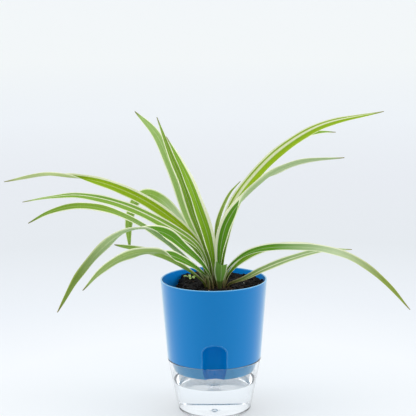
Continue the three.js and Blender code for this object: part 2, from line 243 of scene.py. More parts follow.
def combine(base: bpy.types.Object, other: bpy.types.Object, operation: str) -> None:
    """Applies a boolean of two closed objects to the first and deletes the second.

    Args:
        base: the object that is changed.
        other: the object that is used up.
        operation: UNION or DIFFERENCE or INTERSECT.
    """
    modifier = base.modifiers.new("combine", "BOOLEAN")
    modifier.operation = operation
    modifier.object = other
    modifier.solver = "EXACT"
    old, base.data = base.data, finished_mesh(base)
    base.modifiers.clear()
    bpy.data.meshes.remove(old)
    bpy.data.objects.remove(other)


def turned(profile: Profile, steps: int, centre: Pair = (0.0, 0.0)) -> bmesh.types.BMesh:
    """Turns a profile about an upright axis into a closed solid.

    Args:
        profile: (radius, height) points that start and end on the axis, or close on themselves.
        steps: how many facets go round.
        centre: the axis's X and Y.

    Returns:
        The closed bmesh, in metres, with its faces outwards.
    """
    shape = bmesh.new()
    verts = [shape.verts.new((radius * MM, 0.0, height * MM)) for radius, height in profile]
    edges = [shape.edges.new(pair) for pair in zip(verts, verts[1:])]
    bmesh.ops.spin(
        shape, geom=verts + edges, cent=(0, 0, 0), axis=AXIS_Z, angle=FULL_TURN, steps=steps, use_merge=True
    )
    bmesh.ops.remove_doubles(shape, verts=shape.verts, dist=1e-6)
    bmesh.ops.dissolve_degenerate(shape, edges=shape.edges, dist=1e-7)
    bmesh.ops.recalc_face_normals(shape, faces=shape.faces)
    bmesh.ops.translate(shape, verts=shape.verts, vec=(centre[0] * MM, centre[1] * MM, 0))
    return shape


def arc(centre: Pair, radius: float, start: float, end: float, steps: int = 4) -> list[Pair]:
    """Points on an arc of a profile.

    Args:
        centre: (radius, height) of the arc's middle.
        radius: the arc's own radius.
        start: first angle in degrees, 0 outwards and 90 up.
        end: last angle in degrees.
        steps: how many pieces the arc has.

    Returns:
        The (radius, height) points.
    """
    turns = (math.radians(lerp(start, end, step / steps)) for step in range(steps + 1))
    return [(centre[0] + radius * math.cos(turn), centre[1] + radius * math.sin(turn)) for turn in turns]


def straight(start: Pair, end: Pair) -> list[Pair]:
    """Points inside a straight run of a profile, with one near each end that holds the shading there.

    Args:
        start: the run's first (radius, height) point.
        end: its last point.

    Returns:
        The points between them.
    """
    near = 0.7 / math.dist(start, end)  # 0.7 mm from each end
    shares = (near, 0.35, 0.65, 1 - near)
    return [(lerp(start[0], end[0], share), lerp(start[1], end[1], share)) for share in shares]


# ------------------------------ Finishes ------------------------------


@dataclass(frozen=True)
class MouldedPot:
    """Polypropylene, injection moulded in a polished tool: deep even colour under a thin waxy gloss."""

    name: str = "glossy_moulded_polypropylene"
    colour: str = "0079be"
    roughness: float = 0.3
    gloss: float = 0.04
    haze: float = 1.0  # pale bloom that the waxy skin shows where it is looked along
    coat: float = 0.8
    ripple: float = 26.0  # mm between the soft sink marks of the moulding

    def material(self) -> bpy.types.Material:
        """Makes the blue plastic, whose gloss wavers a little as moulded walls do.

        Returns:
            The material.
        """
        material, shader = new_material(
            self.name,
            {
                "Base Color": linear(self.colour),
                "Roughness": self.roughness,
                "Specular IOR Level": self.gloss,
                "Sheen Weight": self.haze,
                "Sheen Roughness": 0.4,
                "Sheen Tint": linear("ecffff"),
                "Coat Weight": self.coat,
                "Coat Roughness": 0.05,
                "Coat IOR": 1.2,
            },
        )
        add = partial(add_node, material.node_tree)
        place = add("TexCoord").outputs["Object"]
        sinks = add("TexNoise", {"Scale": 1000 / self.ripple, "Detail": 1.0}, {"Vector": place})
        bump = add("Bump", {"Strength": 0.1, "Distance": 0.1 * MM}, {"Height": sinks})
        connect(shader, {"Normal": bump, "Coat Normal": bump})
        return material


@dataclass(frozen=True)
class ClearStyrene:
    """General-purpose polystyrene, moulded and polished: glass-clear with a faint cool tint."""

    colour: str = "fdfeff"
    roughness: float = 0.015
    ior: float = 1.4
    wipes: float = 60.0  # marks in a metre

    def material(self) -> bpy.types.Material:
        """Makes the clear plastic, whose faint wipe marks show only in its gloss.

        Returns:
            The material.
        """
        material, shader = new_material(
            "clear_moulded_polystyrene",
            {"Base Color": linear(self.colour), "IOR": self.ior, "Transmission Weight": 1.0},
        )
        add = partial(add_node, material.node_tree)
        place = add("TexCoord").outputs["Object"]
        wipe = add("TexNoise", {"Scale": self.wipes, "Detail": 2.0}, {"Vector": place})
        spread = {"From Min": 0.4, "From Max": 0.8, "To Min": self.roughness, "To Max": self.roughness * 4}
        connect(shader, {"Roughness": add("MapRange", spread, {"Value": wipe})})
        return material


@dataclass(frozen=True)
class StillWater:
    """Tap water at rest: clear, with a barely moving surface."""

    colour: str = "feffff"
    ior: float = 1.333
    ripples: float = 45.0  # in a metre

    def material(self) -> bpy.types.Material:
        """Makes clear water with very slight ripples.

        Returns:
            The material.
        """
        material, shader = new_material(
            "still_tap_water",
            {
                "Base Color": linear(self.colour),
                "IOR": self.ior,
                "Roughness": 0.0,
                "Transmission Weight": 1.0,
            },
        )
        add = partial(add_node, material.node_tree)
        place = add("TexCoord").outputs["Object"]
        ripple = add("TexNoise", {"Scale": self.ripples, "Detail": 0.0}, {"Vector": place})
        connect(shader, {"Normal": add("Bump", {"Strength": 0.1, "Distance": 0.2 * MM}, {"Height": ripple})})
        return material


@dataclass(frozen=True)
class PottingSoil:
    """Damp peat and bark mix, crumbled: near black, matt, flecked with brown fibre."""

    name: str = "damp_peat_soil"
    stops: Stops = ((0.3, "050404"), (0.55, "0f0b09"), (0.72, "221914"), (0.86, "3d2e23"))
    crumb: float = 2.2  # mm across a crumb
    roughness: float = 0.92

    def material(self) -> bpy.types.Material:
        """Makes the soil, with crumbs raised by bump.

        Returns:
            The material.
        """
        material, shader = new_material(self.name, {"Roughness": self.roughness, "Specular IOR Level": 0.25})
        add = partial(add_node, material.node_tree)
        place = {"Vector": add("TexCoord").outputs["Object"]}
        clods = add("TexNoise", {"Scale": 1000 / (self.crumb * 2), "Detail": 5.0, "Roughness": 0.7}, place)
        crumbs = add("TexVoronoi", {"Scale": 1000 / self.crumb}, place)
        colour = add("ValToRGB", {"stops": self.stops}, {"Fac": clods})
        height = add("Math", {"operation": "SUBTRACT"}, {0: clods, 1: crumbs})
        bump = add("Bump", {"Strength": 0.9, "Distance": 1.2 * MM}, {"Height": height})
        connect(shader, {"Base Color": colour, "Normal": bump})
        return material


class LeafTone(Enum):
    """Colours of a leaf's upper face, the tissue between its veins, and its underside."""

    BRIGHT = ("9cb81a", "78a004", "bccb90")
    FRESH = ("84ac1e", "5e900a", "b0c48c")
    GRASS = ("88aa36", "648c1e", "86aa40")
    DEEP = ("5e9218", "407408", "b8cc98")
    MOSS = ("5e9218", "407408", "95ac60")
    OLIVE = ("8ba646", "6c8c2a", "adc088")
    PALE = ("a2c070", "84a852", "a2be74")


@dataclass(frozen=True)
class LeafSkin:
    """Living strap leaf: waxy skin over lengthwise veins, with margins that hold no green.

    The blade attribute gives the place on the leaf: X from -1 at the right edge to 1 at the left, Y from 0
    at the seat to 1 at the tip, and Z a number of the leaf's own, so that no two leaves are streaked alike.
    """

    tone: LeafTone
    margins: Pair = (0.3, 0.3)  # cream share of each half, at the right and the left edge
    stripe: float = 0.0  # half width of a cream middle stripe
    lean: float = 0.0  # how far that stripe lies towards the left edge
    painted_light_share: Pair = (0.0, 0.0)  # share of painted light over the green, near the seat and near the tip
    # Colour of that painted light: a pale one paints sheen, a darker one paints shade.
    bloom: str = "bccfa6"
    cream: str = "f1f4d0"
    ripe: str = "ffffff"  # tint of the outer third, which has seen the most light
    tip: str = "b09a6c"
    veins: float = 7.0  # veins in each half of the blade
    midrib: float = 0.035  # half width of the pale midrib that shows where there is no stripe
    blur: float = 0.07  # half width of the change from cream to green
    sheath: Pair = (132.0, 156.0)  # heights between which the brown of the old sheath ends
    roughness: float = 0.42
    ior: float = 1.45

    def tissue(
        self, add: Adder, under: bool, upward: Source, streaks: Source, wave: Source
    ) -> bpy.types.Node:
        """Streaks the green along the blade, and gives it its painted light and its veins.

        Args:
            add: adds a node to the material.
            under: whether this is the paler lower face.
            upward: place from the seat to the tip.
            streaks: noise that is drawn out along the blade.
            wave: wave across the blade that is highest on a vein.

        Returns:
            The colour.
        """
        green, deep, pale = self.tone.value
        main, streak = (pale, green) if under else (green, deep)
        mottled = {"From Min": 0.35, "From Max": 0.7, "To Max": 0.35 if under else 0.85}
        mottle = add("MapRange", mottled, {"Value": streaks})
        plain = add("Mix", {**BLEND, 6: linear(main), 7: linear(streak)}, {0: mottle})
        # Painted light along the blade: a pale colour paints sheen, a darker one paints shade.
        bloomed = {"From Min": 0.3, "From Max": 0.62, "To Min": self.painted_light_share[0], "To Max": self.painted_light_share[1]}
        bloom = add("MapRange", bloomed, {"Value": upward})
        colour = add("Mix", {**BLEND, 7: linear(self.bloom)}, {0: bloom, 6: plain})
        vein = add("MapRange", {"From Min": 0.55, "From Max": 1.0, "To Max": 0.55}, {"Value": wave})
        return add("Mix", {**TINT, 7: (0.80, 0.84, 0.74, 1.0)}, {0: vein, 6: colour})

    def cream_share(self, add: Adder, under: bool, across: Source, streaks: Source) -> bpy.types.Node:
        """Lays the cream margins, whose edges wander a little, and the middle stripe.

        Args:
            add: adds a node to the material.
            under: whether this is the paler lower face.
            across: place from the right edge to the left.
            streaks: noise that is drawn out along the blade.

        Returns:
            The share of cream over the green.
        """
        wander = add("Math", {"operation": "MULTIPLY_ADD", 1: 0.24, 2: -0.12}, {0: streaks})
        edge = add("Math", {"operation": "ADD"}, {0: across, 1: wander})
        leant = add("Math", {"operation": "SUBTRACT", 1: self.lean}, {0: edge})
        middle = add("Math", {"operation": "ABSOLUTE"}, {0: leant})
        right, left = -1 + self.margins[0], 1 - self.margins[1]
        width = max(self.stripe, self.midrib)
        limits = ("From Min", "From Max", "To Min", "To Max")
        bands = (
            (edge, right - self.blur, right + self.blur, 1.0, 0.0),
            (edge, left - self.blur, left + self.blur, 0.0, 1.0),
            (middle, width * 0.6, width * 1.5, 0.9 if self.stripe else 0.3, 0.0),
        )
        masks = [add("MapRange", dict(zip(limits, band)), {"Value": source}) for source, *band in bands]
        cream = masks[0]
        for mask in masks[1:]:
            cream = add("Math", {"operation": "MAXIMUM"}, {0: cream, 1: mask})
        return add("Math", {"operation": "MULTIPLY", 1: 0.7 if under else 0.95}, {0: cream})

    def tints(self, add: Adder, upward: Source) -> list[bpy.types.Node]:
        """Ages the blade at both ends.

        Args:
            add: adds a node to the material.
            upward: place from the seat to the tip.

        Returns:
            The tints of the outer part with its dry tip, and of the old sheath at the seat.
        """
        ripening = [(0.6, "ffffff"), (0.84, self.ripe), (0.95, self.ripe), (1.0, self.tip)]
        height = add("SeparateXYZ", links={"Vector": add("TexCoord").outputs["Object"]}).outputs["Z"]
        low, high = (value * MM for value in self.sheath)
        risen = add("MapRange", {"From Min": low, "From Max": high}, {"Value": height})
        grown = add("MapRange", {"From Min": 0.3, "From Max": 0.4}, {"Value": upward})
        sheath = add("Math", {"operation": "MAXIMUM"}, {0: risen, 1: grown})
        ageing = [(0.0, "6e5643"), (0.3, "a08d70"), (0.75, "e4e6cf"), (1.0, "ffffff")]
        return [
            add("ValToRGB", {"stops": stops}, {"Fac": source})
            for stops, source in ((ripening, upward), (ageing, sheath))
        ]

    def material(self, under: bool) -> bpy.types.Material:
        """Makes one face of the leaf.

        Args:
            under: whether this is the paler lower face.

        Returns:
            The material.
        """
        material, shader = new_material(
            f"leaf_{self.tone.name.lower()}_{'under' if under else 'upper'}",
            {
                "IOR": self.ior,
                "Roughness": self.roughness + (0.12 if under else 0.0),
                "Specular IOR Level": 0.3 if under else 0.16,
            },
        )
        add = partial(add_node, material.node_tree)
        place = add("Attribute", {"attribute_name": "blade"}).outputs["Vector"]
        parts = add("SeparateXYZ", links={"Vector": place})
        across, upward = parts.outputs["X"], parts.outputs["Y"]
        stretched = add("VectorMath", {"operation": "MULTIPLY", 1: (5.0, 2.5, 40.0)}, {0: place})
        streaks = add("TexNoise", {"Scale": 1.0, "Detail": 3.0, "Roughness": 0.6}, {"Vector": stretched})
        ribs = add("Math", {"operation": "MULTIPLY", 1: self.veins * math.pi}, {0: across})
        wave = add("Math", {"operation": "COSINE"}, {0: ribs})
        green = self.tissue(add, under, upward, streaks, wave)
        share = self.cream_share(add, under, across, streaks)
        colour = add("Mix", {**BLEND, 7: linear(self.cream)}, {0: share, 6: green})
        for tint in self.tints(add, upward):
            colour = add("Mix", {**TINT, 0: 1.0}, {6: colour, 7: tint})
        bump = add("Bump", {"Strength": 0.35, "Distance": 0.25 * MM}, {"Height": wave})
        connect(shader, {"Base Color": colour, "Normal": bump})
        return material


@dataclass(frozen=True)
class FibrousStock:
    """Rootstock and old leaf sheaths: brown, dry and finely stringy along their height."""

    stops: Stops = ((0.3, "1d1410"), (0.55, "3c2a20"), (0.75, "6a5038"), (0.9, "9a8360"))
    fibre: float = 1.3  # mm between fibres
    knots: float = 90.0  # in a metre of height

    def material(self) -> bpy.types.Material:
        """Makes the stringy brown tissue.

        Returns:
            The material.
        """
        dry = {"Roughness": 0.8, "Specular IOR Level": 0.3}
        material, shader = new_material("dry_fibrous_rootstock", dry)
        add = partial(add_node, material.node_tree)
        place = add("TexCoord").outputs["Object"]
        fine = 1000 / self.fibre
        drawn = add("Mapping", {"Scale": (fine, fine, self.knots)}, {"Vector": place})
        strands = add("TexNoise", {"Scale": 1.0, "Detail": 4.0, "Roughness": 0.65}, {"Vector": drawn})
        colour = add("ValToRGB", {"stops": self.stops}, {"Fac": strands})
        bump = add("Bump", {"Strength": 0.8, "Distance": 0.6 * MM}, {"Height": strands})
        connect(shader, {"Base Color": colour, "Normal": bump})
        return material


@dataclass(frozen=True)
class SproutSkin:
    """New growth: thin soft skin, pale yellow-green, nearly matt."""

    stops: Stops = ((0.35, "86a64c"), (0.65, "b7cf7c"))
    mottles: float = 420.0  # in a metre

    def material(self) -> bpy.types.Material:
        """Makes the soft pale green tissue.

        Returns:
            The material.
        """
        material, shader = new_material("soft_sprout_tissue", {"Roughness": 0.5, "IOR": 1.42})
        add = partial(add_node, material.node_tree)
        place = add("TexCoord").outputs["Object"]
        mottle = add("TexNoise", {"Scale": self.mottles, "Detail": 2.0}, {"Vector": place})
        connect(shader, {"Base Color": add("ValToRGB", {"stops": self.stops}, {"Fac": mottle})})
        return material


# ------------------------------ Reservoir cup and water ------------------------------


@dataclass
class ReservoirCup:
    """Clear tapered cup that carries the pot on its rim, and the water in it."""

    foot_radius: float = 37.6
    rim_radius: float = 48.6
    height: float = 56.2
    wall: float = 1.2
    floor: float = 2.2
    corner: float = 3.2
    rim_rounds: Pair = (0.5, 0.4)  # outside and inside
    gate_radius: float = 3.4
    gate_height: float = 2.4
    water_level: float = 31.8
    water_gap: float = 0.1
    meniscus: float = 1.4
    facets: int = 160

    def outer(self, height: float) -> float:
        """Outside radius at a height."""
        return along(((0.0, self.foot_radius), (self.height, self.rim_radius)), height)

    def inner(self, height: float) -> float:
        """Inside radius at a height."""
        return self.outer(height) - self.wall

    def floor_curve(self, gap: float) -> list[Pair]:
        """Inside corner and gate mark of the cup's floor, from the wall to the axis.

        Args:
            gap: how far inside the cup's own surface the curve lies.

        Returns:
            The (radius, height) points.
        """
        bend = self.corner - 0.6
        low = self.floor + gap
        corner = arc((self.inner(low + bend) - gap - bend, low + bend), bend, 0, -90, 6)
        tip = self.floor + self.gate_height + gap
        neck = self.gate_radius + gap
        return [
            *corner,
            (neck + 2.4, low),
            (neck + 1.2, low + 0.15),
            (neck + 0.3, low + 0.6),
            (neck - 0.5, low + 1.3),
            (neck - 1.3, tip - 0.35),
            (neck - 2.2, tip - 0.06),
            (0.0, tip),
        ]

    def build_cup(self) -> None:
        """Turns the cup with rounded foot and rim."""
        lean = math.degrees(math.atan2(self.rim_radius - self.foot_radius, self.height))
        foot = arc((self.outer(self.corner) - self.corner, self.corner), self.corner, -90, -lean, 8)
        far, near = self.rim_rounds
        outside = arc((self.rim_radius - far, self.height - far), far, 0, 90)
        inside = arc((self.inner(self.height) + near, self.height - near), near, 90, 180)
        bed = self.floor_curve(0.0)
        profile = [
            (0.0, 0.0),
            *foot,
            *straight(foot[-1], outside[0]),
            *outside,
            *inside,
            *straight(inside[-1], bed[0]),
            *bed,
        ]
        cup = new_object("clear_cup", turned(profile, self.facets), [ClearStyrene().material()])
        smooth(cup, 50)
        install(cup, "clear_plastic", "reservoir_cup")

    def build_water(self) -> None:
        """Turns the water, whose edge climbs the wall a little."""
        level, climb = self.water_level, self.meniscus
        top = level + climb * 0.5
        edge = self.inner(top) - self.water_gap
        rise = [
            (edge - climb * 1.6 * share, level + climb * 0.5 * (1 - share) ** 2.4)
            for share in (step / 6 for step in range(7))
        ]
        bed = self.floor_curve(self.water_gap)
        profile = [(0.0, level), *reversed(rise), *straight(rise[0], bed[0]), *bed]
        water = new_object("reservoir_water", turned(profile, self.facets), [StillWater().material()])
        smooth(water, 60)
        install(water, "water", "water")

    def build(self) -> None:
        """Builds the cup and its water."""
        self.build_cup()
        self.build_water()


# ------------------------------ Pot ------------------------------


class PotZone(Enum):
    """Stretches of the pot and the finish of each, in the order of the material slots.

    The plastic is one blue. The skirt, the recess and the inside take lighter copies of the wall's blue,
    which paint in light, and the lip's paler blue is a painted highlight. The recess and the inside hold
    less haze than the wall.
    """

    WALL = MouldedPot()
    # Painted light: the skirt, recess and inside are lighter copies of the wall's blue.
    SKIRT = MouldedPot("polypropylene_skirt_painted_light", "42a0d6")
    RECESS = MouldedPot("polypropylene_recess_painted_light", "0080cc", haze=0.0, coat=0.0)
    INSIDE = MouldedPot("polypropylene_inside_painted_light", "0088e8", haze=0.15)
    # Painted highlight: the lip's top is a paler blue than the wall.
    LIP = MouldedPot("polypropylene_lip_painted_highlight", "62acdf")


@dataclass
class Pot:
    """Tapered pot with a nesting skirt, a drain collar and a filling channel pressed into its front."""

    rim_radius: float = 55.0
    height: float = 139.5
    wall: float = 1.7
    lip_round: float = 0.75
    shoulder_radius: float = 48.6
    shoulder: float = 56.5
    shoulder_inside: float = 60.0
    skirt_top: float = 46.6
    skirt_foot: float = 42.0
    foot: float = 43.2
    foot_round: float = 1.6
    edge_round: float = 0.35
    wall_lean: float = 2.5  # degrees
    boss_radius: float = 7.0
    boss_depth: float = 3.0
    drain_radius: float = 3.6
    channel_radius: float = 12.8
    channel_y: float = -48.9
    channel_spring: float = 72.8
    channel_rise: float = 9.5
    channel_bead: float = 0.7
    facets: int = 192

    def inner(self, height: float) -> float:
        """Gives the radius of the wall's inside.

        Args:
            height: where.

        Returns:
            The radius.
        """
        line = (
            (self.foot + self.wall, self.skirt_foot),
            (self.shoulder, self.skirt_top),
            (self.shoulder_inside, self.shoulder_radius + 0.3),
            (self.height, self.rim_radius),
        )
        return along(line, height) - self.wall

    def outline(self) -> list[Pair]:
        """Outside of the pot from the skirt's foot to the lip's top.

        Returns:
            The (radius, height) points.
        """
        foot_middle = (self.skirt_foot - self.foot_round, self.foot + self.foot_round)
        edge_middle = (self.shoulder_radius - self.edge_round, self.shoulder + self.edge_round)
        lip_middle = (self.rim_radius - self.lip_round, self.height - self.lip_round)
        foot = arc(foot_middle, self.foot_round, -90, 0)
        edge = arc(edge_middle, self.edge_round, -80, 0, 3)
        lip = arc(lip_middle, self.lip_round, self.wall_lean, 90, 5)
        skirt_end = (self.skirt_top, self.shoulder - 0.5)
        return [
            *foot,
            *straight(foot[-1], skirt_end),
            skirt_end,
            (self.skirt_top + 0.2, self.shoulder),
            (edge_middle[0], self.shoulder),
            *edge,
            *straight(edge[-1], lip[0]),
            *lip,
        ]

    def channel(self, foot: float, grown: float) -> bmesh.types.BMesh:
        """Half-round shaft under a flattened dome.

        Args:
            foot: height of the shaft's lower end.
            grown: how far its surface is moved outwards.

        Returns:
            The closed shape.
        """
        radius, rise = self.channel_radius + grown, self.channel_rise + grown
        turns = (math.radians(90 * step / 16) for step in range(16))
        dome = [(radius * math.cos(turn), self.channel_spring + rise * math.sin(turn)) for turn in turns]
        profile = [(0.0, foot), (radius, foot), *dome, (0.0, self.channel_spring + rise)]
        return turned(profile, 96, (0.0, self.channel_y))

    def bead(self) -> bpy.types.Object:
        """Runs a round bead up one side of the channel's mouth, over its arch and down the other side.

        Returns:
            The closed bead, on the pot's outer wall.
        """
        axis, top = abs(self.channel_y), self.channel_spring + self.channel_rise
        wall = ((self.shoulder, self.shoulder_radius), (self.height, self.rim_radius))
        side = []
        for step in range(49):
            height = lerp(self.shoulder + self.channel_bead, top, math.sin(math.pi / 2 * step / 48))
            above = max(height - self.channel_spring, 0.0) / self.channel_rise
            inside = self.channel_radius * math.sqrt(max(1 - above * above, 0.0))
            outside = along(wall, height)
            depth = (outside**2 - inside**2 + axis**2) / (2 * axis)
            if depth > outside:
                break
            side.append((math.sqrt(outside**2 - depth**2), -depth, height))
        points = [*side, *((-x, y, z) for x, y, z in reversed(side))]
        line = bpy.data.curves.new("channel_bead", "CURVE")
        line.dimensions = "3D"
        line.bevel_depth, line.bevel_resolution, line.use_fill_caps = self.channel_bead * MM, 4, True
        run = line.splines.new("POLY")
        run.points.add(len(points) - 1)
        for spot, (x, y, z) in zip(run.points, points):
            spot.co = (x * MM, y * MM, z * MM, 1.0)
        holder = placed("channel_bead_line", line)
        mesh = finished_mesh(holder)
        bpy.data.objects.remove(holder)
        bpy.data.curves.remove(line)
        return placed("channel_bead", mesh)

    def moulding(self) -> list[Pair]:
        """Whole section of the pot without its channel: collar, outside, lip, inside and floor.

        Returns:
            The (radius, height) points, which close on themselves.
        """
        collar, bed = self.foot - self.boss_depth, self.foot + self.wall
        lip_middle = (self.rim_radius - self.wall + self.lip_round, self.height - self.lip_round)
        inside = [self.height - self.lip_round - 0.7, 120, 90, self.shoulder_inside, self.shoulder, bed]
        return [
            (self.drain_radius, collar),
            *arc((self.boss_radius - 0.6, collar + 0.6), 0.6, -90, 0),
            (self.boss_radius, self.foot - 0.4),
            (self.boss_radius + 0.4, self.foot),
            *self.outline(),
            *arc(lip_middle, self.lip_round, 90, 180),
            *((self.inner(height), height) for height in inside),
            (self.drain_radius, bed),
            (self.drain_radius, collar),
        ]

    def core(self) -> list[Pair]:
        """Line in the middle of the wall's thickness, where the channel's backing can start hidden.

        Returns:
            The (radius, height) points.
        """
        heights = (self.foot + self.wall / 2, self.shoulder, self.shoulder_inside, self.height - self.wall)
        return [(self.inner(height) + self.wall / 2, height) for height in heights]

    def zone(self, spot: Vector) -> PotZone:
        """Tells which finish a face has.

        Args:
            spot: the face's centre, in millimetres.

        Returns:
            The zone.
        """
        x, y, z = spot
        recessed = math.hypot(x, y) < self.inner(max(z, self.shoulder_inside)) + self.wall / 2
        channel = math.hypot(x, y - self.channel_y) < self.channel_radius + 0.1
        if z > self.height - self.lip_round:
            return PotZone.LIP
        if not recessed:
            return PotZone.WALL
        if channel and z < self.channel_spring + self.channel_rise:
            return PotZone.RECESS
        return PotZone.INSIDE if z > self.shoulder else PotZone.SKIRT

    def build(self) -> None:
        """Builds the pot as one moulding."""
        zones = list(PotZone)
        looks = [zone.value.material() for zone in zones]
        pot = new_object("blue_pot", turned(self.moulding(), self.facets), looks)
        core = self.core()
        body = new_object("pot_body", turned([(0.0, core[0][1]), *core, (0.0, core[-1][1])], self.facets))
        backing = new_object("channel_backing", self.channel(self.foot - 1, self.wall))
        combine(backing, body, "INTERSECT")
        combine(pot, backing, "UNION")
        cutter = new_object("channel_cutter", self.channel(self.foot - 8, 0.0))
        combine(pot, cutter, "DIFFERENCE")
        combine(pot, self.bead(), "UNION")
        # Each face gets the wall's blue or one of its painted-light copies, chosen by zone.
        for face in pot.data.polygons:
            face.material_index = zones.index(self.zone(face.center / MM))
        smooth(pot, 30)
        install(pot, "pot_plastic", "pot")


# ------------------------------ Soil ------------------------------


@dataclass(frozen=True)
class Crumb:
    """A kind of loose grain on the soil: its finish, its sizes and how it is drawn out."""

    finish: PottingSoil
    sizes: Pair = (0.6, 1.9)
    stretch: tuple[float, float, float] = (1.15, 0.9, 0.8)


@dataclass
class Soil:
    """Crumbly potting soil that fills the pot, lower against the wall at the left."""

    pot: Pot
    level: float = 134.0
    hollow_depth: float = 14.0
    hollow: Pair = (29.0, 44.0)
    rings: int = 52
    sectors: int = 176
    gap: float = 0.25
    clod_width: float = 6.5
    clod_height: float = 1.25
    crumbs: int = 720
    crown_hole: float = 15.2
    crown_depth: float = 20.0
    crumb_kinds: tuple[Crumb, ...] = (
        Crumb(PottingSoil("dark_soil_crumbs")),
        Crumb(
            PottingSoil("bark_chips", ((0.3, "21160f"), (0.6, "4b3524"), (0.8, "715236"))),
            stretch=(1.8, 0.7, 0.4),
        ),
        Crumb(PottingSoil("pale_mineral_grains", ((0.3, "a99f8c"), (0.7, "ded6c6"))), (0.5, 1.0)),
    )

    def height(self, x: float, y: float) -> float:
        """Smooth height of the soil's surface at a place."""
        lumps = 0.7 * math.sin(x / 7.3 + 1.1) * math.cos(y / 6.1) + 0.4 * math.sin((x + y) / 3.9)
        return self.level + lumps - self.hollow_depth * smoothstep(-x, *self.hollow)

    def rough_height(self, x: float, y: float) -> float:
        """Height with its clods."""
        clods = noise.fractal(Vector((x / self.clod_width, y / self.clod_width, 1.3)), 0.9, 2.0, 5)
        return self.height(x, y) + self.clod_height * clods

    def wall(self, height: float) -> float:
        """Radius of the soil's side at a height."""
        return self.pot.inner(height) - self.gap

    def build_body(self) -> None:
        """Turns a fine disc on a body, and lifts the disc to the crumbly surface."""
        pot, rim = self.pot, self.wall(self.level)
        foot = pot.foot + pot.wall + self.gap
        side = [(self.wall(height), height) for height in (foot, pot.shoulder, pot.shoulder_inside)]
        flat = 200.0  # above everything else, so that the disc's points are known by it
        disc = [(rim * step / self.rings, flat) for step in range(self.rings, -1, -1)]
        shape = turned([(0.0, foot), *side, *disc], self.sectors)
        for vert in shape.verts:
            if vert.co.z < (flat - 1) * MM:
                continue
            x, y = vert.co.x / MM, vert.co.y / MM
            reach = math.hypot(x, y)
            if reach > 1e-6:
                edge = self.wall(self.height(x * rim / reach, y * rim / reach))
                x, y = (value * edge / rim for value in (x, y))
            vert.co = Vector((x, y, self.rough_height(x, y))) * MM
        soil = new_object("potting_soil", shape, [PottingSoil().material()])
        channel = new_object("channel_room", pot.channel(pot.foot - 8, pot.wall + self.gap))
        combine(soil, channel, "DIFFERENCE")
        low, high = self.level - self.crown_depth, self.level + self.crown_depth
        bowl = [(0.0, low), (self.crown_hole * 0.85, low), (self.crown_hole, self.level - 5)]
        hole = turned([*bowl, (self.crown_hole, high), (0.0, high)], 72, CROWN_CENTRE)
        combine(soil, new_object("crown_room", hole), "DIFFERENCE")
        smooth(soil, 60)
        install(soil, "soil", "soil")

    def build_crumbs(self) -> None:
        """Scatters crumbs, bark chips and a few pale grains over the surface."""
        dice = random.Random(SEED)
        shape = bmesh.new()
        rim = self.wall(self.level) * 0.97
        for index in range(self.crumbs):
            reach, turn = rim * math.sqrt(dice.random()), dice.uniform(0, FULL_TURN)
            x, y = reach * math.cos(turn), reach * math.sin(turn)
            slot = 2 if index % 90 == 44 else int(index % 9 == 0)
            kind = self.crumb_kinds[slot]
            size = dice.uniform(*kind.sizes)
            crumb = bmesh.ops.create_icosphere(shape, subdivisions=1, radius=size * MM)["verts"]
            for vert in crumb:
                vert.co *= dice.uniform(0.75, 1.25)
            bmesh.ops.scale(shape, verts=crumb, vec=kind.stretch)
            spin, tilt = dice.uniform(0, FULL_TURN), dice.uniform(-0.6, 0.6)
            pose = Matrix.Rotation(spin, 3, "Z") @ Matrix.Rotation(tilt, 3, "X")
            bmesh.ops.rotate(shape, verts=crumb, cent=(0, 0, 0), matrix=pose)
            spot = Vector((x, y, self.rough_height(x, y) + size * 0.15)) * MM
            bmesh.ops.translate(shape, verts=crumb, vec=spot)
            for face in {face for vert in crumb for face in vert.link_faces}:
                face.material_index = slot
        looks = [kind.finish.material() for kind in self.crumb_kinds]
        install(new_object("soil_crumbs", shape, looks), "soil")

    def build(self) -> None:
        """Builds the soil and what lies on it."""
        self.build_body()
        self.build_crumbs()


# ------------------------------ Plant ------------------------------


@dataclass(frozen=True)
class Leaf:
    """One channelled strap leaf on its seat.

    Seats are (distance, bearing) about the crown, and headings are bearings too, anticlockwise from +X in
    degrees. The route is (reach, height) in the upright plane of the heading. Fold is how far each half is
    folded up, and roll is how far the left edge is lifted, at evenly spaced places from the seat to the tip.
    Taper is the power of the blade's narrowing, and flare the share over which it grows to its full width.
    Crease is the place of a twist, and how much further the halves fold up there.
    """

    name: str
    seat: Pair
    heading: float
    width: float
    fold: float
    roll: tuple[float, ...]
    route: tuple[Pair, ...]
    skin: LeafSkin
    taper: float = 3.6
    flare: float = 0.4
    crease: Pair = (0.5, 0.0)
    cut: float = 0.0


def spline(points: Sequence[Vector], steps: int = 24) -> list[Vector]:
    """Draws a smooth line through points, eased by the distances between them.

    Args:
        points: the points.
        steps: how many pieces each stretch between them has.

    Returns:
        The points of the fine line.
    """
    guides = [points[0] * 2 - points[1], *points, points[-1] * 2 - points[-2]]
    fine: list[Vector] = []
    for before, start, end, after in zip(guides, guides[1:], guides[2:], guides[3:]):
        gaps = [math.sqrt((b - a).length) for a, b in ((before, start), (start, end), (end, after))]
        leave = (start - before) / gaps[0] - (end - before) / (gaps[0] + gaps[1]) + (end - start) / gaps[1]
        arrive = (end - start) / gaps[1] - (after - start) / (gaps[1] + gaps[2]) + (after - end) / gaps[2]
        leave, arrive = leave * gaps[1], arrive * gaps[1]
        for step in range(steps):
            t = step / steps
            square, cube = t * t, t * t * t
            fine.append(
                start * (2 * cube - 3 * square + 1)
                + leave * (cube - 2 * square + t)
                + end * (3 * square - 2 * cube)
                + arrive * (cube - square)
            )
    return [*fine, points[-1]]


